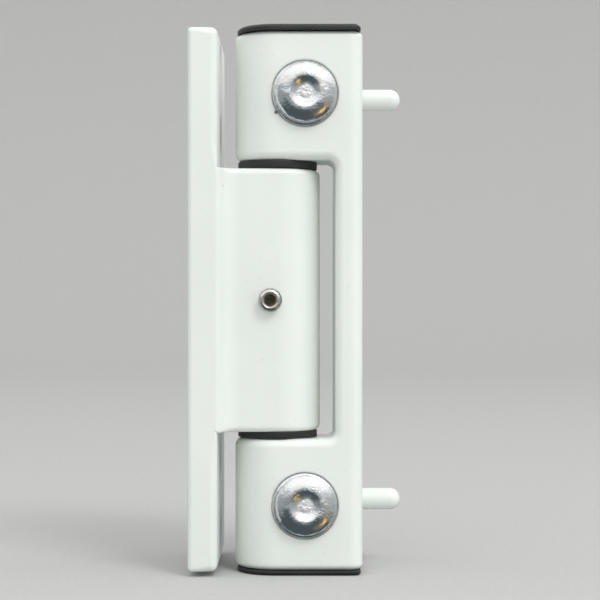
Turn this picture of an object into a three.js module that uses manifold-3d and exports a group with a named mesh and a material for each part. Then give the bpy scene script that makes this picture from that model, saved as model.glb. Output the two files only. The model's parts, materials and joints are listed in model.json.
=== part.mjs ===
// Three-knuckle door hinge, 100 mm high, closed.
// The frame leaf carries the upper and lower knuckle blocks, the sash leaf carries the middle knuckle.
// Millimetres, +Z up. The origin is the centre of the frame leaf's mounting face, +X points out of
// that face towards the frame, and -Y is the front, the side of the knuckles.

import * as THREE from 'three';
import { mergeVertices } from 'three/addons/utils/BufferGeometryUtils.js';
import Module from 'manifold-3d';

const wasm = await Module();
wasm.setup();

// ---- Driving dimensions -------------------------------------------------------------------------

const OVERALL_HEIGHT = 100;
const CLEARANCE = 0.3; // between neighbouring pieces

const FRONT = -15; // front face of the frame leaf and of all three knuckles
const BACK = 15; // rear edge of both leaves
const FRAME_PLATE = 5; // plate thickness of the frame leaf
const FRONT_EDGE_ROUND = 2.4; // frame leaf's front edge beside the mounting face
const STRIP_EDGE_ROUND = 1.8; // frame leaf's front edge beside the pocket
const REAR_EDGE_ROUND = 1.2;

const KNUCKLE_RADIUS = 7.8;
const PIN_X = -15.55;
const PIN_Y = FRONT + KNUCKLE_RADIUS;
const BLOCK_BACK = PIN_Y + KNUCKLE_RADIUS;
const POCKET_HALF = 25.35; // half the height between the two knuckle blocks
const MIDDLE_HALF = 23.8; // half the height of the middle knuckle
const END_ROUND = 1.4; // rounding of the knuckles' ends

const SASH_FACE_X = -31.7; // mounting face of the sash leaf
const SASH_PLATE = 5.4;
const SASH_FRONT = -17.5;
const SASH_HALF = 49.1;
const SASH_EDGE_ROUND = 1.5;
const BLEND_WIDTH = 4; // hollow blend from the middle knuckle up to the sash leaf's front edge

const CAP_THICKNESS = 1.3;
const CAP_INSET = 0.25;
const CAP_EDGE_ROUND = 0.4;
const CAP_SPIGOT_LENGTH = 2.6;
const CAP_SPIGOT_WALL = 1.2;
const CAP_STUD_RADIUS = 1.2;
const CAP_STUD_LENGTH = 2;
const CAP_STUD_X = -4;
const CAP_STUD_Y = -4;

const PIN_RADIUS = 4;
const PIN_HALF = 44.9;
const PIN_CHAMFER = 0.6;
const PIN_DIMPLE_DEPTH = 0.7; // seat of the grub screw's tip

const BUSH_RADIUS = 5.5;
const BUSH_LENGTH = 19.5;
const BUSH_FLANGE_RADIUS = 7.3;
const BUSH_FLANGE = 1;

const RIVET_X = -10.5;
const RIVET_Z = 37.4;
const RIVET_SHANK_RADIUS = 1.8;
const RIVET_HEAD_RADIUS = 5.5;
const RIVET_HEAD_HEIGHT = 2.3;
const RIVET_RIM = 0.7; // upright rim below the dome
const RIVET_CREST_RADIUS = 3.1; // ring where the dome turns down into the dish
const RIVET_DISH_DEPTH = 0.9;
const RIVET_TAIL_RADIUS = 3;
const RIVET_TAIL_HEIGHT = 1.2;
const SEAT_RADIUS = 6.3; // shallow counterbore that the washer and the head stand in
const SEAT_DEPTH = 0.5;
const WASHER_RADIUS = 6;
const WASHER_THICKNESS = 0.45;
const WASHER_GAP = 0.15; // beside each face of a washer
const BACK_WASHER_RADIUS = 3.8;

const GRUB_X = -16.8;
const GRUB_RADIUS = 2; // M4
const GRUB_PROUD = 1.9;
const GRUB_LENGTH = 5.7;
const GRUB_HEX_FLATS = 2;
const GRUB_SOCKET_DEPTH = 1.8;
const GRUB_CHAMFER = 0.4;

const PEG_Z = 37.7;
const PEG_RADIUS = 2;
const PEG_PROUD = 7.5;
const PEG_SOCKET_DEPTH = 4.5;

const SCREW_HOLE_RADIUS = 2.3;
const SCREW_HEAD_RADIUS = 4.4; // 90 degree countersink
const SCREW_HOLE_Z = [-43.8, -30.4, 30.4, 43.8];
const FRAME_SCREW_Y = 7.5;
const SASH_SCREW_Y = -2;

const ARC_STEPS = 7; // straight steps in each arc of an outline
const ROUND_STEPS = 24; // straight steps round a turned piece

// ---- Worked out from them -----------------------------------------------------------------------

const FRAME_HALF = OVERALL_HEIGHT / 2 - CAP_THICKNESS - CLEARANCE;
const SASH_INNER_X = SASH_FACE_X + SASH_PLATE;
const BUSH_BORE_RADIUS = BUSH_RADIUS + CLEARANCE;
const PIN_BORE_RADIUS = PIN_RADIUS + CLEARANCE;
const RIVET_HOLE_RADIUS = RIVET_SHANK_RADIUS + CLEARANCE;
const GRUB_HOLE_RADIUS = GRUB_RADIUS + CLEARANCE;
const GROOVE_RADIUS = RIVET_X - PIN_X - RIVET_SHANK_RADIUS - CLEARANCE;
const SEAT_Y = FRONT + SEAT_DEPTH; // floor of the counterbore
const HEAD_SEAT = SEAT_Y - WASHER_THICKNESS - 2 * WASHER_GAP; // under the rivet's domed head
const TAIL_SEAT = BLOCK_BACK + WASHER_THICKNESS + 2 * WASHER_GAP; // under its formed tail

// ---- Materials ----------------------------------------------------------------------------------

const whitePaint = new THREE.MeshStandardMaterial({ color: 0xe5e9e4, roughness: 0.38, metalness: 0 });
const darkPlastic = new THREE.MeshStandardMaterial({ color: 0x3b3b3d, roughness: 0.6, metalness: 0 });
const brightZinc = new THREE.MeshStandardMaterial({ color: 0xd3d6d8, roughness: 0.18, metalness: 1 });
const stainless = new THREE.MeshStandardMaterial({ color: 0xa9a5a0, roughness: 0.32, metalness: 1 });

// ---- Solids -------------------------------------------------------------------------------------

// A closed manifold solid from a three.js geometry.
function solid(geometry) {
  const bare = geometry.index ? geometry : geometry.clone();
  bare.deleteAttribute('normal');
  bare.deleteAttribute('uv');
  const merged = mergeVertices(bare, 1e-4);
  const vertProperties = new Float32Array(merged.attributes.position.array);
  const triVerts = new Uint32Array(merged.index.array);
  return new wasm.Manifold(new wasm.Mesh({ numProp: 3, vertProperties, triVerts }));
}

// The three.js geometry of a manifold solid.
function geometryOf(manifold) {
  const { vertProperties, triVerts } = manifold.getMesh();
  const geometry = new THREE.BufferGeometry();
  geometry.setAttribute('position', new THREE.BufferAttribute(vertProperties, 3));
  geometry.setIndex(new THREE.BufferAttribute(triVerts, 1));
  geometry.computeVertexNormals();
  return geometry;
}

// A prism of a plan outline between two heights.
function prism(outline, bottom, top) {
  const options = { depth: top - bottom, bevelEnabled: false, curveSegments: ARC_STEPS };
  return solid(new THREE.ExtrudeGeometry(outline, options).translate(0, 0, bottom));
}

// The same with its two ends rounded.
function roundedPrism(outline, bottom, top, round) {
  const options = {
    depth: top - bottom - 2 * round,
    curveSegments: ARC_STEPS,
    bevelThickness: round,
    bevelSize: round,
    bevelOffset: -round,
    bevelSegments: 3,
  };
  return solid(new THREE.ExtrudeGeometry(outline, options).translate(0, 0, bottom + round));
}

// A turned solid about the Y axis. The profile is a list of [radius, y], with y growing.
function turned(profile) {
  const points = profile.map(([radius, y]) => new THREE.Vector2(radius, y));
  return new THREE.LatheGeometry(points, ROUND_STEPS);
}

// A ring about the Y axis between two radii and two heights.
function ring(outer, inner, y0, y1) {
  return turned([[inner, y0], [outer, y0], [outer, y1], [inner, y1], [inner, y0]]);
}

// A plain cylinder about the Y axis.
function rod(radius, y0, y1) {
  return turned([[0, y0], [radius, y0], [radius, y1], [0, y1]]);
}

// Turns a piece made about the Y axis so that it runs along Z, or along X.
const alongZ = (geometry) => geometry.rotateX(Math.PI / 2);
const alongX = (geometry) => geometry.rotateZ(-Math.PI / 2);

// ---- Frame leaf ---------------------------------------------------------------------------------

// Plan of a knuckle block: round about the pin, flat from there to the mounting face.
function blockOutline(inset) {
  const radius = KNUCKLE_RADIUS - inset;
  const cornerY = FRONT + inset + FRONT_EDGE_ROUND;
  const outline = new THREE.Shape();
  outline.absarc(PIN_X, PIN_Y, radius, Math.PI / 2, 1.5 * Math.PI, false);
  outline.lineTo(-inset - FRONT_EDGE_ROUND, FRONT + inset);
  outline.absarc(-inset - FRONT_EDGE_ROUND, cornerY, FRONT_EDGE_ROUND, -Math.PI / 2, 0, false);
  outline.lineTo(-inset, BLOCK_BACK - inset);
  outline.closePath();
  return outline;
}

// Plan of the frame leaf's plate.
function framePlateOutline() {
  const outline = new THREE.Shape();
  const rightX = -FRONT_EDGE_ROUND;
  const leftX = -FRAME_PLATE + STRIP_EDGE_ROUND;
  const rearX = [-REAR_EDGE_ROUND, -FRAME_PLATE + REAR_EDGE_ROUND];
  const rearY = BACK - REAR_EDGE_ROUND;
  outline.absarc(leftX, FRONT + STRIP_EDGE_ROUND, STRIP_EDGE_ROUND, Math.PI, 1.5 * Math.PI, false);
  outline.absarc(rightX, FRONT + FRONT_EDGE_ROUND, FRONT_EDGE_ROUND, -Math.PI / 2, 0, false);
  outline.absarc(rearX[0], rearY, REAR_EDGE_ROUND, 0, Math.PI / 2, false);
  outline.absarc(rearX[1], rearY, REAR_EDGE_ROUND, Math.PI / 2, Math.PI, false);
  outline.closePath();
  return outline;
}

// A knuckle block, rounded at the end that faces the pocket and cut square under its end cap.
function knuckleBlock(side) {
  const extra = 2 * END_ROUND;
  const inner = POCKET_HALF;
  const outer = FRAME_HALF + extra;
  const [bottom, top] = side > 0 ? [inner, outer] : [-outer, -inner];
  const long = roundedPrism(blockOutline(0), bottom, top, END_ROUND);
  const cut = new THREE.BoxGeometry(100, 100, 2 * extra);
  return long.subtract(solid(cut.translate(0, 0, side * (FRAME_HALF + extra))));
}

// Cutter for a countersunk screw hole along X, its head at the plate's inner face, facing -X.
function screwHole(innerX, thickness, facing) {
  const sink = SCREW_HEAD_RADIUS - SCREW_HOLE_RADIUS;
  const cutter = turned([
    [0, -1],
    [SCREW_HEAD_RADIUS + 1, -1],
    [SCREW_HOLE_RADIUS, sink],
    [SCREW_HOLE_RADIUS, thickness + 1],
    [0, thickness + 1],
  ]);
  const aimed = alongX(cutter);
  if (facing < 0) aimed.rotateZ(Math.PI);
  return aimed.translate(innerX, 0, 0);
}

function frameLeaf() {
  let leaf = prism(framePlateOutline(), -FRAME_HALF, FRAME_HALF);
  for (const side of [-1, 1]) {
    leaf = leaf.add(knuckleBlock(side));
  }
  for (const side of [-1, 1]) {
    const boreEnds = [side * (POCKET_HALF - 1), side * (FRAME_HALF + 1)].sort((a, b) => a - b);
    const bore = alongZ(rod(BUSH_BORE_RADIUS, ...boreEnds)).translate(PIN_X, PIN_Y, 0);
    const rivetHole = rod(RIVET_HOLE_RADIUS, FRONT - 1, BLOCK_BACK + 1);
    const rivetSeat = rod(SEAT_RADIUS, FRONT - 1, SEAT_Y);
    const pegSocket = alongX(rod(PEG_RADIUS + CLEARANCE, -PEG_SOCKET_DEPTH, 1));
    const studDepth = CAP_STUD_LENGTH + CLEARANCE;
    const studHole = alongZ(rod(CAP_STUD_RADIUS + CLEARANCE, -studDepth, studDepth));
    leaf = leaf.subtract(solid(bore));
    leaf = leaf.subtract(solid(rivetHole.translate(RIVET_X, 0, side * RIVET_Z)));
    leaf = leaf.subtract(solid(rivetSeat.translate(RIVET_X, 0, side * RIVET_Z)));
    leaf = leaf.subtract(solid(pegSocket.translate(0, 0, side * PEG_Z)));
    leaf = leaf.subtract(solid(studHole.translate(CAP_STUD_X, CAP_STUD_Y, side * FRAME_HALF)));
  }
  for (const z of SCREW_HOLE_Z) {
    const hole = screwHole(-FRAME_PLATE, FRAME_PLATE, 1).translate(0, FRAME_SCREW_Y, z);
    leaf = leaf.subtract(solid(hole));
  }
  return geometryOf(leaf);
}

// ---- Sash leaf ----------------------------------------------------------------------------------

function sashPlateOutline() {
  const r = SASH_EDGE_ROUND;
  const [left, right] = [SASH_FACE_X + r, SASH_INNER_X - r];
  const [front, back] = [SASH_FRONT + r, BACK - r];
  const outline = new THREE.Shape();
  outline.absarc(left, front, r, Math.PI, 1.5 * Math.PI, false);
  outline.absarc(right, front, r, -Math.PI / 2, 0, false);
  outline.absarc(right, back, r, 0, Math.PI / 2, false);
  outline.absarc(left, back, r, Math.PI / 2, Math.PI, false);
  outline.closePath();
  return outline;
}

// Plan of the middle knuckle: round about the pin, with a web that runs into the sash leaf's plate
// and a hollow blend up to the plate's front edge.
function middleKnuckleOutline() {
  const rootX = SASH_INNER_X - SASH_PLATE / 2;
  const blendX = SASH_INNER_X + BLEND_WIDTH;
  const blendFront = SASH_FRONT + SASH_EDGE_ROUND / 2;
  const blendHeight = FRONT - blendFront;
  const outline = new THREE.Shape();
  outline.absarc(PIN_X, PIN_Y, KNUCKLE_RADIUS, -Math.PI / 2, Math.PI / 2, false);
  outline.lineTo(rootX, BLOCK_BACK);
  outline.lineTo(rootX, blendFront);
  outline.lineTo(SASH_INNER_X, blendFront);
  outline.absellipse(blendX, blendFront, BLEND_WIDTH, blendHeight, Math.PI, Math.PI / 2, true, 0);
  outline.closePath();
  return outline;
}

function sashLeaf() {
  let leaf = roundedPrism(sashPlateOutline(), -SASH_HALF, SASH_HALF, END_ROUND);
  leaf = leaf.add(roundedPrism(middleKnuckleOutline(), -MIDDLE_HALF, MIDDLE_HALF, END_ROUND));
  const bore = alongZ(rod(PIN_BORE_RADIUS, -MIDDLE_HALF - 1, MIDDLE_HALF + 1));
  leaf = leaf.subtract(solid(bore.translate(PIN_X, PIN_Y, 0)));
  const grubHole = rod(GRUB_HOLE_RADIUS, FRONT - 1, PIN_Y);
  leaf = leaf.subtract(solid(grubHole.translate(GRUB_X, 0, 0)));
  for (const z of SCREW_HOLE_Z) {
    const hole = screwHole(SASH_INNER_X, SASH_PLATE, -1).translate(0, SASH_SCREW_Y, z);
    leaf = leaf.subtract(solid(hole));
  }
  return geometryOf(leaf);
}

// ---- Pin, bushes and grub screw -----------------------------------------------------------------

// The pin runs through all three knuckles. Each rivet passes it in a groove.
function hingePin() {
  const grooveHalf = RIVET_SHANK_RADIUS + CLEARANCE;
  const body = alongZ(turned([
    [0, -PIN_HALF],
    [PIN_RADIUS - PIN_CHAMFER, -PIN_HALF],
    [PIN_RADIUS, -PIN_HALF + PIN_CHAMFER],
    [PIN_RADIUS, -RIVET_Z - grooveHalf],
    [GROOVE_RADIUS, -RIVET_Z - grooveHalf],
    [GROOVE_RADIUS, -RIVET_Z + grooveHalf],
    [PIN_RADIUS, -RIVET_Z + grooveHalf],
    [PIN_RADIUS, RIVET_Z - grooveHalf],
    [GROOVE_RADIUS, RIVET_Z - grooveHalf],
    [GROOVE_RADIUS, RIVET_Z + grooveHalf],
    [PIN_RADIUS, RIVET_Z + grooveHalf],
    [PIN_RADIUS, PIN_HALF - PIN_CHAMFER],
    [PIN_RADIUS - PIN_CHAMFER, PIN_HALF],
    [0, PIN_HALF],
  ]));
  const seat = rod(GRUB_RADIUS, -2 * PIN_RADIUS, -PIN_RADIUS + PIN_DIMPLE_DEPTH);
  return geometryOf(solid(body).subtract(solid(seat.translate(GRUB_X - PIN_X, 0, 0))));
}

// A bush in a knuckle block, its flange filling the gap below the block. Side +1 or -1.
function flangedBush(side) {
  const flangeTop = POCKET_HALF - (POCKET_HALF - MIDDLE_HALF - BUSH_FLANGE) / 2;
  const flangeBottom = flangeTop - BUSH_FLANGE;
  const body = alongZ(turned([
    [PIN_BORE_RADIUS, flangeBottom],
    [BUSH_FLANGE_RADIUS, flangeBottom],
    [BUSH_FLANGE_RADIUS, flangeTop],
    [BUSH_RADIUS, flangeTop],
    [BUSH_RADIUS, flangeTop + BUSH_LENGTH],
    [PIN_BORE_RADIUS, flangeTop + BUSH_LENGTH],
    [PIN_BORE_RADIUS, flangeBottom],
  ]));
  const notch = rod(RIVET_HOLE_RADIUS, -KNUCKLE_RADIUS, KNUCKLE_RADIUS);
  notch.translate(RIVET_X - PIN_X, 0, RIVET_Z);
  const bush = geometryOf(solid(body).subtract(solid(notch)));
  return side > 0 ? bush : bush.rotateX(Math.PI);
}

// M4 set screw along Y with a hexagon socket in its front end.
function grubScrew() {
  const head = FRONT - GRUB_PROUD;
  const tip = head + GRUB_LENGTH;
  const body = turned([
    [0, head],
    [GRUB_RADIUS - GRUB_CHAMFER, head],
    [GRUB_RADIUS, head + GRUB_CHAMFER],
    [GRUB_RADIUS, tip - GRUB_CHAMFER],
    [GRUB_RADIUS - GRUB_CHAMFER, tip],
    [0, tip],
  ]);
  const hexRadius = GRUB_HEX_FLATS / Math.sqrt(3);
  const socket = new THREE.CylinderGeometry(hexRadius, hexRadius, 2 * GRUB_SOCKET_DEPTH, 6);
  return geometryOf(solid(body).subtract(solid(socket.translate(0, head, 0))));
}

// ---- Rivets and washers -------------------------------------------------------------------------

// Domed head with a dished centre, shank through the block, and a tail formed over the back washer.
function retainingRivet() {
  const profile = [];
  const dishSteps = 4;
  for (let i = 0; i <= dishSteps; i += 1) {
    const share = i / dishSteps;
    const depth = RIVET_DISH_DEPTH * (1 - share * share);
    profile.push([RIVET_CREST_RADIUS * share, HEAD_SEAT - RIVET_HEAD_HEIGHT + depth]);
  }
  const domeSteps = 5;
  for (let i = 1; i <= domeSteps; i += 1) {
    const angle = (Math.PI / 2) * (i / domeSteps);
    const radius = RIVET_CREST_RADIUS + (RIVET_HEAD_RADIUS - RIVET_CREST_RADIUS) * Math.sin(angle);
    const rise = RIVET_RIM + (RIVET_HEAD_HEIGHT - RIVET_RIM) * Math.cos(angle);
    profile.push([radius, HEAD_SEAT - rise]);
  }
  profile.push(
    [RIVET_HEAD_RADIUS, HEAD_SEAT],
    [RIVET_SHANK_RADIUS, HEAD_SEAT],
    [RIVET_SHANK_RADIUS, TAIL_SEAT],
    [RIVET_TAIL_RADIUS, TAIL_SEAT],
    [RIVET_TAIL_RADIUS, TAIL_SEAT + RIVET_TAIL_HEIGHT / 2],
    [RIVET_TAIL_RADIUS * 0.7, TAIL_SEAT + RIVET_TAIL_HEIGHT],
    [0, TAIL_SEAT + RIVET_TAIL_HEIGHT],
  );
  return turned(profile);
}

function frontWasher() {
  const rear = SEAT_Y - WASHER_GAP;
  return ring(WASHER_RADIUS, RIVET_HOLE_RADIUS, rear - WASHER_THICKNESS, rear);
}

function backWasher() {
  const front = BLOCK_BACK + WASHER_GAP;
  return ring(BACK_WASHER_RADIUS, RIVET_HOLE_RADIUS, front, front + WASHER_THICKNESS);
}

// ---- Caps and pegs ------------------------------------------------------------------------------

// Cap over a knuckle block's end, with a hollow spigot in the bush bore and a stud beside it.
function endCap(side) {
  const top = OVERALL_HEIGHT / 2;
  const under = top - CAP_THICKNESS;
  const overlap = CAP_THICKNESS / 2;
  let cap = roundedPrism(blockOutline(CAP_INSET), under, top, CAP_EDGE_ROUND);
  const outer = BUSH_BORE_RADIUS - CLEARANCE;
  const spigot = alongZ(ring(outer, outer - CAP_SPIGOT_WALL, under - CAP_SPIGOT_LENGTH, under + overlap));
  const stud = alongZ(rod(CAP_STUD_RADIUS, under - CAP_STUD_LENGTH, under + overlap));
  cap = cap.add(solid(spigot.translate(PIN_X, PIN_Y, 0)));
  cap = cap.add(solid(stud.translate(CAP_STUD_X, CAP_STUD_Y, 0)));
  const geometry = geometryOf(cap);
  return side > 0 ? geometry : mirroredDown(geometry);
}

// The same geometry reflected in the plane of Z = 0, with its triangles turned to face out again.
function mirroredDown(geometry) {
  geometry.scale(1, 1, -1);
  const index = geometry.index.array;
  for (let i = 0; i < index.length; i += 3) {
    [index[i + 1], index[i + 2]] = [index[i + 2], index[i + 1]];
  }
  geometry.computeVertexNormals();
  return geometry;
}

// Round-ended peg along X, part of its length held in the frame leaf.
function locatingPeg() {
  const held = PEG_SOCKET_DEPTH - CLEARANCE;
  const profile = [[0, -held], [PEG_RADIUS, -held]];
  const noseSteps = 6;
  for (let i = 0; i < noseSteps; i += 1) {
    const angle = (Math.PI / 2) * (i / noseSteps);
    const y = PEG_PROUD - PEG_RADIUS + PEG_RADIUS * Math.sin(angle);
    profile.push([PEG_RADIUS * Math.cos(angle), y]);
  }
  profile.push([0, PEG_PROUD]);
  return alongX(turned(profile));
}

// ---- Assembly -----------------------------------------------------------------------------------

function piece(name, geometry, material, x = 0, y = 0, z = 0) {
  const mesh = new THREE.Mesh(geometry, material);
  mesh.name = name;
  mesh.position.set(x, y, z);
  return mesh;
}

const frameSide = new THREE.Group();
frameSide.add(piece('frame_leaf', frameLeaf(), whitePaint));
for (const [level, side] of [['upper', 1], ['lower', -1]]) {
  const rivetZ = side * RIVET_Z;
  frameSide.add(
    piece(`${level}_flanged_bush`, flangedBush(side), darkPlastic, PIN_X, PIN_Y),
    piece(`${level}_retaining_rivet`, retainingRivet(), brightZinc, RIVET_X, 0, rivetZ),
    piece(`${level}_rivet_washer`, frontWasher(), brightZinc, RIVET_X, 0, rivetZ),
    piece(`${level}_rivet_back_washer`, backWasher(), brightZinc, RIVET_X, 0, rivetZ),
    piece(`${level}_locating_peg`, locatingPeg(), whitePaint, 0, 0, side * PEG_Z),
  );
}
frameSide.add(
  piece('top_end_cap', endCap(1), darkPlastic),
  piece('bottom_end_cap', endCap(-1), darkPlastic),
);

const sashSide = new THREE.Group();
sashSide.add(
  piece('sash_leaf', sashLeaf(), whitePaint),
  piece('hinge_pin', hingePin(), stainless, PIN_X, PIN_Y),
  piece('pin_grub_screw', grubScrew(), stainless, GRUB_X),
);

const hinge = new THREE.Group();
hinge.add(frameSide, sashSide);

export default hinge;
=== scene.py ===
"""Looks of the knuckle door hinge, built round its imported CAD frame.

Shapes are worked out in millimetres and turned into metres when their meshes are made.
The two castings, the caps and the set screw are rounded solids given as distance fields.
The rivets, washers, bushes and pegs are turned profiles.
"""
import json
import math

import bpy
import numpy as np
from mathutils import Matrix, Vector


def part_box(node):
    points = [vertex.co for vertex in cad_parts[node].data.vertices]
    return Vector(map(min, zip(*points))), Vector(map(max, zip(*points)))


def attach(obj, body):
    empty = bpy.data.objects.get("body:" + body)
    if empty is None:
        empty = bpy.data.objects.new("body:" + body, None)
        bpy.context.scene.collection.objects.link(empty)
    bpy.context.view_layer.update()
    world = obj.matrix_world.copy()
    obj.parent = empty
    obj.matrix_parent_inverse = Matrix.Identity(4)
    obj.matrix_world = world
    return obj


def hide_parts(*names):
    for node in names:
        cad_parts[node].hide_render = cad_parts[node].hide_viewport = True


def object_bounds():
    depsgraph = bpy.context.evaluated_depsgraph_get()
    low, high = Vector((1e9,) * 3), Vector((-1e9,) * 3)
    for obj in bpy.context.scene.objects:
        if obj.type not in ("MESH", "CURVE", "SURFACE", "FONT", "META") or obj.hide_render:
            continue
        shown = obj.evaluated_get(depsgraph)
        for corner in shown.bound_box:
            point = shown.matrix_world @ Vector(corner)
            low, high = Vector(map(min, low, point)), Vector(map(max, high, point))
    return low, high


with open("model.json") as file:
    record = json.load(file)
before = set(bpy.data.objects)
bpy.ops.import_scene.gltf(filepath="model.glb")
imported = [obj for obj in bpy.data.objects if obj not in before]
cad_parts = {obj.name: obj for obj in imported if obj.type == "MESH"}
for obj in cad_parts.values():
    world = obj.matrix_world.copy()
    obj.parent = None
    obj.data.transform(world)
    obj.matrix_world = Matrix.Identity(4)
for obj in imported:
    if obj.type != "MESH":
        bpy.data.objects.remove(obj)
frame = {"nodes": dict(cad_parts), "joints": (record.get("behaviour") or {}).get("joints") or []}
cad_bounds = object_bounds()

MM = 0.001

# ---- Sizes --------------------------------------------------------------------------------------


def box_mm(node):
    """The lowest and highest corners of a CAD node, in millimetres."""
    low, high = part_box(node)
    return np.array(low) / MM, np.array(high) / MM


def centre_mm(node):
    low, high = box_mm(node)
    return (low + high) / 2


frame_low, frame_high = box_mm("frame_leaf")
sash_low, sash_high = box_mm("sash_leaf")
cap_low, cap_high = box_mm("top_end_cap")
swing = next(j for j in frame["joints"] if j["name"] == "door_swing")
PIN_X, PIN_Y = (p / MM for p in swing["pos_m"][:2])
RIVET_X, _, RIVET_Z = centre_mm("upper_retaining_rivet")
PEG_Z = centre_mm("upper_locating_peg")[2]
GRUB_X = centre_mm("pin_grub_screw")[0]

FRONT = frame_low[1]
BACK = frame_high[1]
KNUCKLE_RADIUS = PIN_X - frame_low[0]
BLOCK_BACK = PIN_Y + KNUCKLE_RADIUS
TOP_CAP = 1.15  # thickness of the upper end cap
BOTTOM_CAP = 0.82
CAP_SEAM = 0.03  # between a cap and the block's end
CAP_PROUD = 0.6  # how far a cap stands out in front
TOP_END = cap_high[2] - TOP_CAP - CAP_SEAM  # the frame leaf's ends, measured from the middle
BOTTOM_END = cap_high[2] - BOTTOM_CAP - CAP_SEAM
FRAME_PLATE = 5.0
SASH_PLATE = 5.4
SASH_INNER_X = sash_low[0] + SASH_PLATE
POCKET_HALF = 25.35  # half the height between the two knuckle blocks
MIDDLE_HALF = 23.95  # half the height of the middle knuckle

FRONT_EDGE_ROUND = 2.4
STRIP_EDGE_ROUND = 1.8
REAR_EDGE_ROUND = 1.2
POCKET_EDGE_ROUND = 1.55
TOP_END_ROUND = 1.2
BOTTOM_END_ROUND = 1.1
POCKET_FILLET = 1.5
MIDDLE_END_ROUND = 1.1
SASH_OUTER_ROUND = 0.8
SASH_INNER_ROUND = 1.2
SASH_BACK_ROUND = 1.1
SASH_BLEND = 4.0  # hollow blend between the sash plate and the middle knuckle
LEAF_SAG = 0.12  # the sash leaf hangs by the play of its bushes

BUSH_RADIUS = 5.5
FLANGE_RADIUS = 7.3
PIN_RADIUS = 4.0
PIN_PLAY = 0.05
RIVET_SHANK = 1.8
RIVET_HOLE = 2.05  # radius
RIVET_PLAY = (0.1, 0.0, 0.17)  # the rivets are set a little to one side in their holes
SEAT_RADIUS = 6.05  # counterbore round the front washer
SEAT_DEPTH = 0.5
WASHER_RADIUS = 5.98
WASHER_THICKNESS = 0.7
BACK_WASHER_RADIUS = 3.8
BACK_WASHER_THICKNESS = 0.5
GRUB_RADIUS = 2.0
PEG_RADIUS = 2.0
PEG_SOCKET_DEPTH = 4.4
SCREW_HOLE_RADIUS = 2.3
SCREW_HEAD_RADIUS = 4.4
SCREW_HOLE_Z = (30.4, 43.8)
FRAME_SCREW_Y = 7.5
SASH_SCREW_Y = -2.0

# ---- Distance fields ----------------------------------------------------------------------------


def rounded_rect(u, v, low, high, radii):
    """Distance to a rectangle. radii: its corners low-low, high-low, high-high and low-high."""
    mid_u, mid_v = (low[0] + high[0]) / 2, (low[1] + high[1]) / 2
    right, far = u > mid_u, v > mid_v
    radius = np.where(right, np.where(far, radii[2], radii[1]), np.where(far, radii[3], radii[0]))
    a = np.abs(u - mid_u) - (high[0] - low[0]) / 2 + radius
    b = np.abs(v - mid_v) - (high[1] - low[1]) / 2 + radius
    return np.minimum(np.maximum(a, b), 0) + np.hypot(np.maximum(a, 0), np.maximum(b, 0)) - radius


def extruded(plan, over_end, rounding):
    """A plan pulled along its axis. over_end is the signed distance past the nearer end."""
    a, b = plan + rounding, over_end + rounding
    return np.minimum(np.maximum(a, b), 0) + np.hypot(np.maximum(a, 0), np.maximum(b, 0)) - rounding


def joined(a, b, fillet):
    """Union of two solids with a hollow fillet."""
    corner = np.hypot(np.maximum(fillet - a, 0), np.maximum(fillet - b, 0))
    return np.maximum(fillet, np.minimum(a, b)) - corner


def cut(a, tool, rim):
    """Solid a less the tool, with the rim rounded."""
    corner = np.hypot(np.maximum(rim + a, 0), np.maximum(rim - tool, 0))
    return np.minimum(-rim, np.maximum(a, -tool)) + corner


def smooth_step(low, high, t):
    """0 below low, 1 above high, and a smooth rise between them."""
    share = np.clip((t - low) / (high - low), 0, 1)
    return share * share * (3 - 2 * share)


def screw_hole(across, depth):
    """Countersunk hole. across: distance from its axis, depth: distance below the plate's face."""
    cone = (across - SCREW_HEAD_RADIUS + depth) * math.sqrt(0.5)
    hole = np.minimum(across - SCREW_HOLE_RADIUS, cone)
    return np.maximum(hole, -depth - 0.6)


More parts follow.
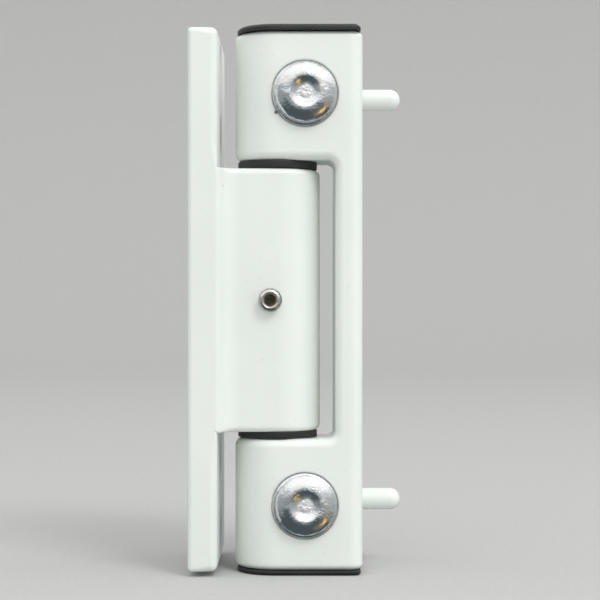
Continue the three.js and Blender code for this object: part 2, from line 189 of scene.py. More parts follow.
def frame_leaf_field(x, y, z):
    """The frame leaf: a plate and two knuckle blocks, with their bores, seats and holes."""
    height = np.abs(z)
    right = frame_high[0]
    over_end = np.maximum(z - TOP_END, -z - BOTTOM_END)
    end_round = np.where(z > 0, TOP_END_ROUND, BOTTOM_END_ROUND)
    plate_plan = rounded_rect(
        x, y, (right - FRAME_PLATE, FRONT), (right, BACK),
        (STRIP_EDGE_ROUND, FRONT_EDGE_ROUND, REAR_EDGE_ROUND, REAR_EDGE_ROUND))
    plate = extruded(plate_plan, over_end, end_round)
    block_plan = rounded_rect(
        x, y, (frame_low[0], FRONT), (right, BLOCK_BACK),
        (KNUCKLE_RADIUS, FRONT_EDGE_ROUND, 0.3, KNUCKLE_RADIUS))
    blocks = extruded(block_plan, over_end, end_round)
    beside_pocket = joined(right - FRAME_PLATE - x, POCKET_HALF - height, POCKET_FILLET)
    blocks = cut(blocks, -beside_pocket, POCKET_EDGE_ROUND)
    fillet = 0.001 + 0.8 * smooth_step(POCKET_HALF + 1.5, POCKET_HALF + 4, height)
    envelope_plan = rounded_rect(
        x, y, (frame_low[0], FRONT), (right, BACK),
        (KNUCKLE_RADIUS, FRONT_EDGE_ROUND, REAR_EDGE_ROUND, REAR_EDGE_ROUND))
    envelope = extruded(envelope_plan, over_end, end_round)
    solid = np.maximum(joined(plate, blocks, fillet), envelope)

    bore = np.maximum(np.hypot(x - PIN_X, y - PIN_Y) - BUSH_RADIUS - PIN_PLAY, POCKET_HALF - 5 - height)
    solid = cut(solid, bore, 0.25)
    from_rivet = np.hypot(x - RIVET_X, height - RIVET_Z)
    solid = cut(solid, np.maximum(from_rivet - SEAT_RADIUS, y - FRONT - SEAT_DEPTH), 0.3)
    solid = cut(solid, np.maximum(from_rivet - RIVET_HOLE, y - BLOCK_BACK - 1), 0.1)
    peg_hole = np.hypot(y, height - PEG_Z) - PEG_RADIUS - 0.03
    solid = cut(solid, np.maximum(peg_hole, right - PEG_SOCKET_DEPTH - x), 0.12)
    for hole_z in SCREW_HOLE_Z:
        across = np.hypot(y - FRAME_SCREW_Y, height - hole_z)
        solid = cut(solid, screw_hole(across, x - right + FRAME_PLATE), 0.25)
    return solid


def sash_leaf_field(x, y, z):
    """The sash leaf: a plate and the middle knuckle, with a hollow blend between them."""
    height = np.abs(z)
    side_view = rounded_rect(
        x, height, (sash_low[0], -sash_high[2]), (SASH_INNER_X, sash_high[2]),
        (SASH_OUTER_ROUND, SASH_INNER_ROUND, SASH_INNER_ROUND, SASH_OUTER_ROUND))
    plate = extruded(side_view, y - sash_high[1], SASH_BACK_ROUND)
    knuckle_plan = rounded_rect(
        x, y, (SASH_INNER_X - 0.5, FRONT), (PIN_X + KNUCKLE_RADIUS, BLOCK_BACK),
        (0.3, KNUCKLE_RADIUS, KNUCKLE_RADIUS, 0.3))
    section = joined(x - SASH_INNER_X, knuckle_plan, SASH_BLEND)
    section = np.maximum(section, np.maximum(SASH_INNER_X - 1.5 - x, y - 8))
    end_round = 0.2 + (MIDDLE_END_ROUND - 0.2) * smooth_step(SASH_INNER_X - 0.6, SASH_INNER_X + 3, x)
    knuckle = extruded(section, np.abs(z + LEAF_SAG) - MIDDLE_HALF, end_round)
    inner_side = smooth_step(sash_low[0] + 1.5, SASH_INNER_X - 1, x)
    inner_round = 0.6 + 0.8 * smooth_step(MIDDLE_HALF, MIDDLE_HALF + 5, height)
    front_round = 0.9 + (inner_round - 0.9) * inner_side
    solid = cut(np.minimum(plate, knuckle), y - sash_low[1], front_round)

    solid = cut(solid, np.hypot(x - PIN_X, y - PIN_Y) - PIN_RADIUS - PIN_PLAY, 0.2)
    grub_hole = np.maximum(np.hypot(x - GRUB_X, z + LEAF_SAG) - GRUB_RADIUS, y - PIN_Y)
    solid = cut(solid, grub_hole, 0.2)
    for hole_z in SCREW_HOLE_Z:
        across = np.hypot(y - SASH_SCREW_Y, height - hole_z)
        solid = cut(solid, screw_hole(across, SASH_INNER_X - x), 0.25)
    return solid


def end_cap_field(x, y, z, thickness):
    """A cap over the upper block, standing a little proud of its front, with its spigot."""
    half = thickness / 2
    under = cap_high[2] - thickness
    middle = cap_high[2] - half
    rounding = np.where(z > middle, 0.85 * thickness, 0.1)
    low = (PIN_X - KNUCKLE_RADIUS + 0.4, FRONT - CAP_PROUD)
    high = (frame_high[0] - 0.35, BLOCK_BACK - 0.2)
    barrel_round, front_round, rear_round = 7.2, 1.6, 0.4
    plan = rounded_rect(x, y, low, high, (barrel_round, front_round, rear_round, barrel_round))
    cover = extruded(plan, np.abs(z - middle) - half, rounding)
    across = np.hypot(x - PIN_X, y - PIN_Y)
    wall = np.abs(across - BUSH_RADIUS + 0.7) - 0.6
    spigot = extruded(wall, np.abs(z - under + 1.0) - 1.5, 0.1)
    return np.minimum(cover, spigot)


def grub_screw_field(x, y, z):
    """Socket set screw along Y, rounded over at the front, with a countersunk hexagon."""
    low, high = box_mm("pin_grub_screw")
    across = np.hypot(x - GRUB_X, z)
    angle = np.arctan2(z, x - GRUB_X)
    pitch, tooth, thread_radius = 0.7, 0.34, 1.93
    half_flats, socket_depth = 1.0, 1.8
    phase = np.mod(y / pitch + angle / (2 * math.pi), 1.0)
    threaded = smooth_step(low[1] + 0.5, low[1] + 1.1, y)
    thread = (across - thread_radius + tooth * threaded * np.abs(2 * phase - 1)) * (1 - 0.4 * threaded)
    chamfer = (across - 1.45 - (high[1] - y)) * math.sqrt(0.5)
    domed_front = extruded(across - 2.1, low[1] - y, 0.72)
    body = np.maximum(np.maximum(thread, domed_front), np.maximum(chamfer, y - high[1]))
    u, v = np.abs(x - GRUB_X), np.abs(z)
    hexagon = np.maximum(u, u * 0.5 + v * math.sqrt(0.75)) - half_flats
    drill_point = (across - 1.1 + (y - low[1] - 2.0) * 1.6) * 0.5
    socket = np.maximum(hexagon, np.minimum(y - low[1] - socket_depth, drill_point))
    lead_in = (across - 1.4 + (y - low[1])) * math.sqrt(0.5)
    return cut(body, np.minimum(socket, lead_in), 0.06)


# ---- Meshes from fields -------------------------------------------------------------------------


def grid_lines(low, high, coarse, zones):
    """Grid lines from low to high, close together in zones of (centre, half width, step)."""
    lines = [low]
    while lines[-1] < high:
        here = lines[-1]
        steps = [step + 0.45 * max(0.0, abs(here - c) - half) for c, half, step in zones]
        lines.append(here + min([coarse] + steps))
    return np.array(lines)


def both_ways(lines):
    """Grid lines for positive values, repeated below zero."""
    return np.concatenate([-lines[::-1], lines[1:]])


def gradient(field, points):
    """The field's slope at each point, by central differences."""
    delta = 2e-3
    slopes = []
    for axis in range(3):
        shift = np.zeros(3)
        shift[axis] = delta
        ahead, behind = points + shift, points - shift
        slopes.append((field(*ahead.T) - field(*behind.T)) / (2 * delta))
    return np.stack(slopes, axis=1)


def cell_points(values, xs, ys, zs):
    """For each grid cell, the mean of the points where its edges cross the surface."""
    lines = (xs, ys, zs)
    cells = tuple(n - 1 for n in values.shape)
    total = np.zeros(cells + (3,))
    count = np.zeros(cells)
    grid = np.meshgrid(*lines, indexing="ij")
    for axis in range(3):
        first = [slice(None)] * 3
        second = [slice(None)] * 3
        first[axis], second[axis] = slice(0, -1), slice(1, None)
        a, b = values[tuple(first)], values[tuple(second)]
        crossed = (a < 0) != (b < 0)
        share = np.where(crossed, a / np.where(crossed, a - b, 1), 0)
        place = [grid[k][tuple(first)] for k in range(3)]
        place[axis] = place[axis] + share * (grid[axis][tuple(second)] - grid[axis][tuple(first)])
        others = [k for k in range(3) if k != axis]
        for da in (0, 1):
            for db in (0, 1):
                part = [slice(None)] * 3
                part[others[0]] = slice(da, cells[others[0]] + da)
                part[others[1]] = slice(db, cells[others[1]] + db)
                hit = crossed[tuple(part)]
                count += hit
                for k in range(3):
                    total[..., k] += np.where(hit, place[k][tuple(part)], 0)
    return total, count


def cell_quads(values, index):
    """Quads round every grid edge that crosses the surface."""
    quads = []
    for axis in range(3):
        others = [(axis + 1) % 3, (axis + 2) % 3]
        inner = [slice(None)] * 3
        inner[others[0]] = inner[others[1]] = slice(1, -1)
        first, second = list(inner), list(inner)
        first[axis], second[axis] = slice(0, -1), slice(1, None)
        a, b = values[tuple(first)], values[tuple(second)]
        place = np.argwhere((a < 0) != (b < 0))
        place[:, others[0]] += 1
        place[:, others[1]] += 1
        leaving = a[(a < 0) != (b < 0)] < 0
        corners = []
        for da, db in ((-1, -1), (0, -1), (0, 0), (-1, 0)):
            cell = place.copy()
            cell[:, others[0]] += da
            cell[:, others[1]] += db
            corners.append(index[cell[:, 0], cell[:, 1], cell[:, 2]])
        ring = np.stack(corners, axis=1)
        quads.append(np.where(leaving[:, None], ring, ring[:, ::-1]))
    return np.concatenate(quads)


def field_mesh(name, field, xs, ys, zs):
    """A mesh on the zero surface of a distance field, with its normals from the field."""
    grid = np.meshgrid(xs, ys, zs, indexing="ij")
    values = field(*grid)
    total, count = cell_points(values, xs, ys, zs)
    active = count > 0
    index = np.full(count.shape, -1)
    index[active] = np.arange(active.sum())
    points = total[active] / count[active][:, None]
    spacing = np.minimum.reduce(np.meshgrid(np.diff(xs), np.diff(ys), np.diff(zs), indexing="ij"))
    reach = 0.4 * spacing[active][:, None]
    start = points.copy()
    for _ in range(5):
        slope = gradient(field, points)
        size = np.maximum((slope ** 2).sum(axis=1, keepdims=True), 1e-6)
        points = points - field(*points.T)[:, None] * slope / size
        points = start + np.clip(points - start, -reach * 2, reach * 2)
    quads = cell_quads(values, index)
    mesh = bpy.data.meshes.new(name)
    mesh.from_pydata((points * MM).tolist(), [], quads.tolist())
    mesh.polygons.foreach_set("use_smooth", [True] * len(mesh.polygons))
    slope = gradient(field, points)
    normals = slope / np.maximum(np.linalg.norm(slope, axis=1, keepdims=True), 1e-9)
    mesh.normals_split_custom_set_from_vertices(normals.tolist())
    return mesh


# ---- Meshes from profiles -----------------------------------------------------------------------


def rounded_profile(corners):
    """Profile points from corners of (radius, along, rounding)."""
    points = []
    for i, (r, h, rounding) in enumerate(corners):
        if rounding == 0:
            points.append(Vector((r, h)))
            continue
        here = Vector((r, h))
        before = (Vector(corners[i - 1][:2]) - here).normalized()
        after = (Vector(corners[i + 1][:2]) - here).normalized()
        half = before.angle(after) / 2
        reach = rounding / math.tan(half)
        hub = here + (before + after).normalized() * (rounding / math.sin(half))
        start, end = here + before * reach - hub, here + after * reach - hub
        for k in range(9):
            points.append(hub + start.slerp(end, k / 8) * rounding)
    return points


def turned_mesh(name, profile, segments=128):
    """A solid turned about Y from profile points (radius, y), which close on the axis or in a ring."""
    closed = profile[0][0] > 1e-6
    rings = []
    vertices, faces = [], []
    for r, y in profile:
        if r < 1e-6:
            rings.append([len(vertices)] * segments)
            vertices.append((0.0, y * MM, 0.0))
            continue
        rings.append(list(range(len(vertices), len(vertices) + segments)))
        for s in range(segments):
            angle = 2 * math.pi * s / segments
            vertices.append((r * math.cos(angle) * MM, y * MM, r * math.sin(angle) * MM))
    pairs = list(zip(rings, rings[1:]))
    if closed:
        pairs.append((rings[-1], rings[0]))
    for low, high in pairs:
        for s in range(segments):
            t = (s + 1) % segments
            face = []
            for v in (low[s], high[s], high[t], low[t]):
                if v not in face:
                    face.append(v)
            if len(face) > 2:
                faces.append(face)
    mesh = bpy.data.meshes.new(name)
    mesh.from_pydata(vertices, [], faces)
    mesh.polygons.foreach_set("use_smooth", [True] * len(mesh.polygons))
    return mesh


# ---- Node helpers -------------------------------------------------------------------------------


class Nodes:
    """Short calls for building a node tree."""

    def __init__(self, tree):
        self.tree = tree

    def add(self, kind, **settings):
        node = self.tree.nodes.new(kind)
        for key, value in settings.items():
            setattr(node, key, value)
        return node

    def feed(self, socket, value):
        if isinstance(value, bpy.types.NodeSocket):
            self.tree.links.new(value, socket)
        elif isinstance(value, (tuple, list)) and len(value) == 3 and socket.type == "RGBA":
            socket.default_value = (*value, 1.0)
        else:
            socket.default_value = value

    def math(self, operation, *values, clamp=False):
        node = self.add("ShaderNodeMath", operation=operation, use_clamp=clamp)
        for i, value in enumerate(values):
            self.feed(node.inputs[i], value)
        return node.outputs[0]

    def vector(self, operation, *values):
        node = self.add("ShaderNodeVectorMath", operation=operation)
        for i, value in enumerate(values):
            self.feed(node.inputs[i], value)
        return node

    def ramp(self, value, low, high, to_low=0.0, to_high=1.0):
        node = self.add("ShaderNodeMapRange", interpolation_type="SMOOTHSTEP")
        for i, item in enumerate((value, low, high, to_low, to_high)):
            self.feed(node.inputs[i], item)
        return node.outputs[0]

    def mix(self, share, a, b):
        node = self.add("ShaderNodeMix", data_type="RGBA")
        self.feed(node.inputs[0], share)
        self.feed(node.inputs[6], a)
        self.feed(node.inputs[7], b)
        return node.outputs[2]

    def noise(self, vector, scale, detail=2.0, roughness=0.5):
        node = self.add("ShaderNodeTexNoise")
        self.feed(node.inputs["Vector"], vector)
        node.inputs["Scale"].default_value = scale
        node.inputs["Detail"].default_value = detail
        node.inputs["Roughness"].default_value = roughness
        return node.outputs[0]

    def bump(self, height, distance, strength=1.0, normal=None):
        node = self.add("ShaderNodeBump")
        node.inputs["Strength"].default_value = strength
        node.inputs["Distance"].default_value = distance
        self.feed(node.inputs["Height"], height)
        if normal is not None:
            self.feed(node.inputs["Normal"], normal)
        return node.outputs[0]

    def place(self):
        return self.add("ShaderNodeTexCoord").outputs["Object"]


def new_material(name):
    """A material with a Principled shader: the helper, and the shader's inputs."""
    material = bpy.data.materials.new(name)
    material.use_nodes = True
    tree = material.node_tree
    shader = tree.nodes["Principled BSDF"]
    return material, Nodes(tree), shader.inputs


# ---- Materials ----------------------------------------------------------------------------------

# Small chips in the paint: a point in millimetres and a radius.
PAINT_CHIPS = (((-15.75, -15.0, 33.9), 0.32), ((-25.3, -16.3, 20.5), 0.1))


def powder_coat():
    """Satin white powder coat: faint orange peel, uneven gloss, two small chips."""
    material, n, inputs = new_material("white_powder_coat")
    place = n.place()
    broad = n.noise(place, 45.0)
    colour = n.mix(n.ramp(broad, 0.35, 0.65), (0.80, 0.845, 0.80), (0.83, 0.87, 0.83))
    specks = n.ramp(n.noise(place, 1500.0, 0.0), 0.83, 0.85)
    colour = n.mix(n.math("MULTIPLY", specks, 0.15), colour, (0.45, 0.45, 0.42))
    ragged = n.noise(place, 5000.0, 1.0)
    chipped = 0.0
    for point, radius in PAINT_CHIPS:
        away = n.vector("DISTANCE", place, tuple(p * MM for p in point)).outputs["Value"]
        uneven = n.math("MULTIPLY_ADD", ragged, 0.5 * radius * MM, away)
        chip = n.ramp(uneven, 1.1 * radius * MM, 1.35 * radius * MM, 1.0, 0.0)
        chipped = n.math("MAXIMUM", chipped, chip)
    colour = n.mix(chipped, colour, (0.16, 0.16, 0.15))
    n.feed(inputs["Base Color"], colour)
    gloss = n.ramp(n.noise(place, 160.0, 3.0), 0.3, 0.7, 0.30, 0.38)
    n.feed(inputs["Roughness"], n.math("MULTIPLY_ADD", chipped, 0.3, gloss))
    peel = n.bump(n.noise(place, 900.0, 1.0), 0.000012)
    fine = n.bump(n.noise(place, 4200.0, 1.0), 0.000002, normal=peel)
    hollow = n.math("SUBTRACT", 1.0, chipped)
    n.feed(inputs["Normal"], n.bump(hollow, 0.00006, normal=fine))
    inputs["Coat Weight"].default_value = 0.25
    inputs["Coat Roughness"].default_value = 0.18
    return material


def moulded_plastic():
    """Charcoal nylon: fine grain and slightly rubbed."""
    material, n, inputs = new_material("charcoal_nylon")
    place = n.place()
    broad = n.noise(place, 120.0, 3.0)
    grain = n.noise(place, 3500.0, 2.0)
    colour = n.mix(n.ramp(broad, 0.3, 0.7), (0.014, 0.014, 0.015), (0.022, 0.022, 0.024))
    scuffs = n.ramp(n.noise(place, 700.0, 4.0, 0.7), 0.62, 0.75)
    n.feed(inputs["Base Color"], n.mix(n.math("MULTIPLY", scuffs, 0.3), colour, (0.07, 0.07, 0.075)))
    n.feed(inputs["Roughness"], n.ramp(grain, 0.3, 0.7, 0.42, 0.58))
    n.feed(inputs["Normal"], n.bump(grain, 0.000008))
    inputs["Specular IOR Level"].default_value = 0.5
    return material


def bright_zinc():
    """Bright zinc plate: turning rings, small pits, a faint straw tint, and a frosted centre."""
    material, n, inputs = new_material("bright_zinc_plate")
    place = n.place()
    split = n.add("ShaderNodeSeparateXYZ")
    n.feed(split.inputs[0], place)
    x, y, z = split.outputs
    across = n.math("SQRT", n.math("ADD", n.math("MULTIPLY", x, x), n.math("MULTIPLY", z, z)))
    turning = n.add("ShaderNodeCombineXYZ")
    n.feed(turning.inputs[0], across)
    n.feed(turning.inputs[1], y)
    rings = n.noise(turning.outputs[0], 5200.0, 1.0)
    cloud = n.noise(place, 420.0, 3.0)
    pits = n.noise(place, 1900.0, 2.0, 0.6)
    tint = n.mix(n.ramp(cloud, 0.45, 0.75, 0.0, 0.5), (0.80, 0.82, 0.84), (0.80, 0.76, 0.66))
    tint = n.mix(n.ramp(pits, 0.66, 0.76, 0.0, 0.35), tint, (0.42, 0.42, 0.43))
    frosted = n.ramp(n.math("MULTIPLY_ADD", cloud, 1.6 * MM, across), 1.5 * MM, 2.9 * MM, 1.0, 0.0)
    n.feed(inputs["Base Color"], n.mix(frosted, tint, (0.86, 0.88, 0.87)))
    n.feed(inputs["Metallic"], n.math("MULTIPLY_ADD", frosted, -0.55, 1.0))
    gloss = n.ramp(cloud, 0.3, 0.7, 0.12, 0.24)
    n.feed(inputs["Roughness"], n.math("MULTIPLY_ADD", frosted, 0.2, gloss))
    turned_marks = n.bump(rings, 0.000002)
    waves = n.bump(n.noise(place, 800.0, 2.0), 0.0001, normal=turned_marks)
    rough_patch = n.ramp(n.noise(place, 260.0, 1.0), 0.42, 0.62, 0.1, 1.0)
    grain = n.math("MULTIPLY", n.noise(place, 2600.0, 3.0, 0.6), rough_patch)
    grained = n.bump(grain, 0.00012, normal=waves)
    hammered = n.math("MULTIPLY", n.noise(place, 1300.0, 3.0, 0.7), frosted)
    n.feed(inputs["Normal"], n.bump(hammered, 0.00035, normal=grained))
    return material


def plain_steel(name, fouled_axis=None):
    """Bare steel with fine scratches. fouled_axis: X and Z of a socket with old oil in it, in mm."""
    material, n, inputs = new_material(name)
    place = n.place()
    cloud = n.noise(place, 900.0, 3.0)
    stretch = n.vector("MULTIPLY", place, (1.0, 9.0, 1.0)).outputs[0]
    scratches = n.noise(stretch, 3800.0, 2.0)
    colour = n.mix(n.ramp(cloud, 0.35, 0.7), (0.80, 0.78, 0.76), (0.66, 0.63, 0.60))
    roughness = n.ramp(scratches, 0.3, 0.7, 0.14, 0.26)
    inputs["Metallic"].default_value = 1.0
    if fouled_axis:
        level = n.vector("MULTIPLY", place, (1.0, 0.0, 1.0)).outputs[0]
        axis = (fouled_axis[0] * MM, 0.0, fouled_axis[1] * MM)
        across = n.vector("DISTANCE", level, axis).outputs["Value"]
        fouled = n.ramp(across, 1.12 * MM, 1.26 * MM, 1.0, 0.0)
        mottled = n.ramp(n.noise(place, 2200.0), 0.35, 0.65)
        oil = n.mix(mottled, (0.14, 0.11, 0.095), (0.26, 0.24, 0.18))
        colour = n.mix(fouled, colour, oil)
        roughness = n.math("MULTIPLY_ADD", fouled, 0.3, roughness)
        n.feed(inputs["Metallic"], n.math("MULTIPLY_ADD", fouled, -0.85, 1.0))
    n.feed(inputs["Base Color"], colour)
    n.feed(inputs["Roughness"], roughness)
    n.feed(inputs["Normal"], n.bump(scratches, 0.000003))
    return material


def floor_paper():
    material, n, inputs = new_material("floor_paper")
    place = n.place()
    fibres = n.noise(place, 900.0, 3.0)
    colour = n.mix(n.ramp(fibres, 0.3, 0.7), (0.50, 0.50, 0.495), (0.53, 0.53, 0.525))
    n.feed(inputs["Base Color"], colour)
    inputs["Roughness"].default_value = 0.8
    return material


paint = powder_coat()
plastic = moulded_plastic()
zinc = bright_zinc()
pin_steel = plain_steel("pin_steel")
screw_steel = plain_steel("screw_steel", (GRUB_X, 0.0))

# ---- Pieces -------------------------------------------------------------------------------------


def add_piece(name, mesh, material, body, node, location=(0, 0, 0)):
    """Puts a mesh into the scene as the piece that stands for a CAD node."""
    piece = bpy.data.objects.new(name, mesh)
    bpy.context.scene.collection.objects.link(piece)
    piece.location = [c * MM for c in location]
    if not mesh.materials:
        mesh.materials.append(material)
    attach(piece, body)
    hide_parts(node)
    return piece


def even_normals(piece):
    """Keeps flat faces flat beside their rounded edges."""
    piece.modifiers.new("normals", "WEIGHTED_NORMAL").weight = 100
    return piece


def add_castings():
    right = frame_high[0]
    holes = [(z, 5.0, 0.3) for z in SCREW_HOLE_Z]
    edges = [(BOTTOM_END - 0.3, 1.6, 0.2), (POCKET_HALF + 0.7, 1.7, 0.3)]
    xs = grid_lines(frame_low[0] - 0.4, right + 0.4, 2.0, [
        (frame_low[0], 1.0, 0.3), (PIN_X, 7.6, 0.6), (right - FRAME_PLATE, 1.9, 0.25),
        (RIVET_X, 6.9, 0.35), (right, 2.0, 0.25)])
    ys = grid_lines(FRONT - 0.4, BACK + 0.4, 2.0, [
        (FRONT, 1.7, 0.2), (PIN_Y, 7.0, 0.6), (BLOCK_BACK, 1.8, 0.3), (0.0, 2.5, 0.25),
        (FRAME_SCREW_Y, 5.0, 0.3), (BACK, 1.4, 0.25)])
    zs = grid_lines(0.0, BOTTOM_END + 0.4, 3.0, holes + edges + [(RIVET_Z, 6.8, 0.3)])
    mesh = field_mesh("frame_casting", frame_leaf_field, xs, ys, both_ways(zs))
    add_piece("frame_casting", mesh, paint, "frame", "frame_leaf")

    xs = grid_lines(sash_low[0] - 0.4, sash_high[0] + 0.4, 2.0, [
        (sash_low[0], 1.3, 0.2), (SASH_INNER_X, 1.4, 0.2), (SASH_INNER_X + 2.5, 2.5, 0.35),
        (PIN_X, 7.9, 0.45), (GRUB_X, 2.4, 0.2), (sash_high[0], 1.2, 0.25)])
    ys = grid_lines(sash_low[1] - 0.4, sash_high[1] + 0.4, 2.0, [
        (sash_low[1], 1.6, 0.2), (FRONT, 1.5, 0.25), (PIN_Y, 7.0, 0.45), (BLOCK_BACK, 3.0, 0.4),
        (SASH_SCREW_Y, 5.0, 0.3), (sash_high[1], 1.4, 0.2)])
    zs = grid_lines(0.0, sash_high[2] + 0.4, 3.0, holes + [
        (0.0, 2.4, 0.2), (MIDDLE_HALF - 0.8, 1.6, 0.2), (sash_high[2], 1.7, 0.2)])
    mesh = field_mesh("sash_casting", sash_leaf_field, xs, ys, both_ways(zs))
    add_piece("sash_casting", mesh, paint, "sash", "sash_leaf")


def add_caps():
    xs = grid_lines(cap_low[0] - 0.3, cap_high[0] + 0.3, 1.0, [
        (cap_low[0], 2.5, 0.2), (PIN_X, 5.8, 0.35), (cap_high[0], 2.8, 0.15)])
    ys = grid_lines(FRONT - CAP_PROUD - 0.3, cap_high[1] + 0.3, 1.0, [
        (FRONT, 1.8, 0.15), (PIN_Y, 5.8, 0.35), (cap_high[1], 1.5, 0.15)])
    for level, side, thickness in (("top", 1, TOP_CAP), ("bottom", -1, BOTTOM_CAP)):
        under = cap_high[2] - thickness
        zs = grid_lines(under - 3.0, cap_high[2] + 0.3, 0.5, [
            (under, 0.3, 0.08), (cap_high[2], 0.7, 0.08)])
        mesh = field_mesh(
            f"{level}_cap_cover", lambda x, y, z: end_cap_field(x, y, side * z, thickness),
            xs, ys, np.sort(side * zs))
        add_piece(f"{level}_cap_cover", mesh, plastic, "frame", f"{level}_end_cap")


def add_bushes():
    """Bushes whose flanges fill the gaps between the knuckles."""
    top = POCKET_HALF - 0.02
    length = box_mm("upper_flanged_bush")[1][2]
    bore = PIN_RADIUS + PIN_PLAY
    for level, turn in (("upper", 1), ("lower", -1)):
        bottom = MIDDLE_HALF + 0.05 - turn * (LEAF_SAG - 0.05)
        profile = rounded_profile([
            (bore, bottom, 0), (FLANGE_RADIUS, bottom, 0.2), (FLANGE_RADIUS, top, 0.2),
            (BUSH_RADIUS, top, 0), (BUSH_RADIUS, length, 0.3), (bore, length, 0)])
        mesh = turned_mesh(f"{level}_bush", profile)
        mesh.transform(Matrix.Rotation(turn * math.pi / 2, 4, "X"))
        piece = add_piece(f"{level}_bush", mesh, plastic, "frame",
                          f"{level}_flanged_bush", (PIN_X, PIN_Y, 0))
        even_normals(piece)


def rivet_profile():
    """Domed head with a dished centre, nearly flat at the bottom and with a punch mark."""
    crest = box_mm("upper_retaining_rivet")[0][1] + 0.07  # clear of the sash leaf at full swing
    rim, head, ring, dish = 5.45, crest + 2.25, 2.9, 0.85
    mark, level = 0.12, 0.36  # shares of the ring's radius where the mark and the level part end
    points = [Vector((0, crest + dish + 0.13)), Vector((0.12, crest + dish + 0.12))]
    for k in range(1, 25):
        share = mark + (1 - mark) * k / 24
        slope = max(0.0, share - level) / (1 - level)
        hollow = 0.5 + 0.5 * math.cos(math.pi * slope) + 0.07 * (1 - slope) * share
        points.append(Vector((ring * share, crest + dish * hollow)))
    steepest, edge = math.radians(50), 0.15
    hub = rim - edge
    curve = (hub - ring) / math.sin(steepest) + edge
    for k in range(1, 22):
        angle = steepest * k / 21
        points.append(Vector((ring + curve * math.sin(angle), crest + curve * (1 - math.cos(angle)))))
    hub_y = points[-1].y + edge * math.cos(steepest)
    for angle in np.linspace(steepest, math.pi / 2, 9)[1:]:
        points.append(Vector((hub + edge * math.sin(angle), hub_y - edge * math.cos(angle))))
    tail = BLOCK_BACK + 0.5
    points += rounded_profile([
        (rim, head, 0.1), (RIVET_SHANK, head, 0), (RIVET_SHANK, tail, 0), (3.1, tail, 0.1),
        (3.1, tail + 0.7, 0.25), (2.2, tail + 1.2, 0.3), (0, tail + 1.25, 0)])[:-1]
    points.append(Vector((0, tail + 1.25)))
    return points


def front_washer_profile():
    """A washer with its front rim rounded, on the floor of the seat."""
    bore, rear = RIVET_SHANK + 0.3, FRONT + SEAT_DEPTH
    front = rear - WASHER_THICKNESS
    return rounded_profile([
        (bore, front, 0), (WASHER_RADIUS, front, 0.6), (WASHER_RADIUS, rear, 0.05), (bore, rear, 0)])


def rear_washer_profile():
    rear = BLOCK_BACK + BACK_WASHER_THICKNESS
    return rounded_profile([
        (RIVET_HOLE, BLOCK_BACK, 0), (BACK_WASHER_RADIUS, BLOCK_BACK, 0.1),
        (BACK_WASHER_RADIUS, rear, 0.15), (RIVET_HOLE, rear, 0)])


def add_rivets():
    """Both rivets, each with its two washers."""
    head = turned_mesh("rivet", rivet_profile(), 160)
    washer = turned_mesh("rivet_washer", front_washer_profile(), 160)
    rear = turned_mesh("rivet_back_washer", rear_washer_profile(), 128)
    for level, side in (("upper", 1), ("lower", -1)):
        place = (RIVET_X, 0, side * RIVET_Z)
        for label, mesh, node, play in (
                ("rivet", head, "retaining_rivet", RIVET_PLAY),
                ("front_washer", washer, "rivet_washer", (0, 0, 0)),
                ("rear_washer", rear, "rivet_back_washer", (0, 0, 0))):
            piece = add_piece(f"{level}_{label}", mesh, zinc, "frame",
                              f"{level}_{node}", [a + b for a, b in zip(place, play)])
            even_normals(piece)


def add_pegs():
    low, high = box_mm("upper_locating_peg")
    nose = [(PEG_RADIUS * math.cos(a), high[0] - PEG_RADIUS + PEG_RADIUS * math.sin(a))
            for a in np.linspace(0, math.pi / 2, 14)[:-1]]
    profile = [(0, low[0]), (PEG_RADIUS, low[0])] + nose + [(0, high[0])]
    mesh = turned_mesh("locating_peg", profile, 96)
    mesh.transform(Matrix.Rotation(-math.pi / 2, 4, "Z"))
    for level, side in (("upper", 1), ("lower", -1)):
        piece = add_piece(f"{level}_peg", mesh, paint, "frame",
                          f"{level}_locating_peg", (0, 0, side * PEG_Z))
        even_normals(piece)


def add_grub_screw():
    low, high = box_mm("pin_grub_screw")
    step = 0.07
    xs = np.arange(low[0] - 2 * step, high[0] + 2 * step, step)
    ys = np.arange(low[1] - 2 * step, high[1] + 2 * step, step)
    zs = np.arange(low[2] - 2 * step, high[2] + 2 * step, step)
    mesh = field_mesh("set_screw", grub_screw_field, xs, ys, zs)
    add_piece("set_screw", mesh, screw_steel, "set_screw", "pin_grub_screw",
              (0, 0, -LEAF_SAG))


add_castings()
add_caps()
add_bushes()
add_rivets()
add_pegs()
add_grub_screw()

pin_object = frame["nodes"]["hinge_pin"]
pin_object.data.materials.clear()
pin_object.data.materials.append(pin_steel)

# ---- Floor, light and camera --------------------------------------------------------------------


def add_floor():
    """A pale sheet under the hinge that curves up behind it."""
    ground = cad_bounds[0][2]
    bend_y, bend = 0.9, 0.6
    rows = [(-1.2, 0.0), (bend_y, 0.0)]
    for angle in np.linspace(0.1, math.pi / 2, 16):
        rows.append((bend_y + bend * math.sin(angle), bend - bend * math.cos(angle)))
    rows.append((bend_y + bend, 3.0))
    vertices = [(x, y, ground + z) for y, z in rows for x in (-2.5, 2.5)]
    faces = [(2 * i, 2 * i + 1, 2 * i + 3, 2 * i + 2) for i in range(len(rows) - 1)]
    mesh = bpy.data.meshes.new("floor")
    mesh.from_pydata(vertices, [], faces)
    mesh.polygons.foreach_set("use_smooth", [True] * len(mesh.polygons))
    mesh.materials.append(floor_paper())
    floor = bpy.data.objects.new("floor", mesh)
    bpy.context.scene.collection.objects.link(floor)
    floor.visible_glossy = False


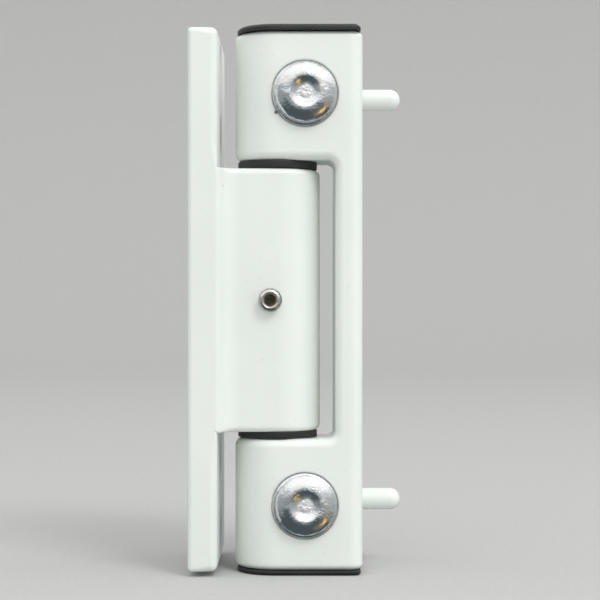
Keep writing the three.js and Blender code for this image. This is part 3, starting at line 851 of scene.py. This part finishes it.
def add_softbox(name, place, target, size, power, glossy=True):
    light = bpy.data.lights.new(name, "AREA")
    light.shape = "RECTANGLE"
    light.size, light.size_y = size
    light.energy = power
    lamp = bpy.data.objects.new(name, light)
    lamp.location = place
    lamp.rotation_euler = (Vector(target) - Vector(place)).to_track_quat("-Z", "Y").to_euler()
    bpy.context.scene.collection.objects.link(lamp)
    lamp.visible_glossy = glossy


def add_world():
    """Bright above, grey in front and beside, dark below, with a small warm patch low on the right."""
    world = bpy.data.worlds.new("studio")
    world.use_nodes = True
    bpy.context.scene.world = world
    n = Nodes(world.node_tree)
    way = n.add("ShaderNodeTexCoord").outputs["Generated"]
    split = n.add("ShaderNodeSeparateXYZ")
    n.feed(split.inputs[0], way)
    x, y, z = split.outputs
    height = n.math("MULTIPLY_ADD", x, 0.2, z)
    upper = n.mix(n.ramp(z, 0.0, 0.8), (0.92, 0.92, 0.91), (1.2, 1.2, 1.19))
    colour = n.mix(n.ramp(height, -0.35, -0.08), (0.075, 0.095, 0.105), (0.35, 0.38, 0.38))
    colour = n.mix(n.ramp(height, 0.0, 0.22), colour, upper)
    sideways = n.ramp(n.math("ABSOLUTE", n.math("ADD", x, 0.1)), 0.35, 0.75, 0.0, 0.8)
    level = n.math("MULTIPLY", n.ramp(z, -0.55, -0.2), n.ramp(z, 0.15, 0.55, 1.0, 0.0))
    colour = n.mix(n.math("MULTIPLY", sideways, level), colour, (0.36, 0.39, 0.39))
    towards_amber = n.vector("DOT_PRODUCT", way, (0.60, -0.50, -0.62)).outputs["Value"]
    colour = n.mix(n.ramp(towards_amber, 0.90, 0.99, 0.0, 0.7), colour, (0.30, 0.25, 0.19))
    colour = n.mix(n.ramp(towards_amber, 0.985, 0.996), colour, (1.6, 0.95, 0.25))
    background = world.node_tree.nodes["Background"]
    n.feed(background.inputs["Color"], colour)
    background.inputs["Strength"].default_value = 1.0


def add_camera():
    """Level with the middle of the hinge, square to its front."""
    camera = bpy.data.cameras.new("camera")
    camera.lens = 109.3
    camera.sensor_width = 36.0
    camera.clip_start = 0.01
    camera.clip_end = 20
    holder = bpy.data.objects.new("camera", camera)
    holder.location = (-0.0114, FRONT * MM - 0.33, -0.0001)
    holder.rotation_euler = (math.pi / 2, 0, 0)
    bpy.context.scene.collection.objects.link(holder)
    bpy.context.scene.camera = holder


add_floor()
add_world()
add_softbox("key", (0.45, -0.7, 0.9), (-0.012, 0, 0), (0.38, 0.38), 4.6)
add_softbox("left_fill", (-0.5, -1.0, -0.3), (-0.012, 0, 0), (0.7, 0.5), 8.0, glossy=False)
add_softbox("right_fill", (0.9, -0.5, -0.1), (-0.012, 0, 0), (0.7, 0.5), 3.0, glossy=False)
add_camera()
bpy.context.scene.view_settings.view_transform = "Standard"
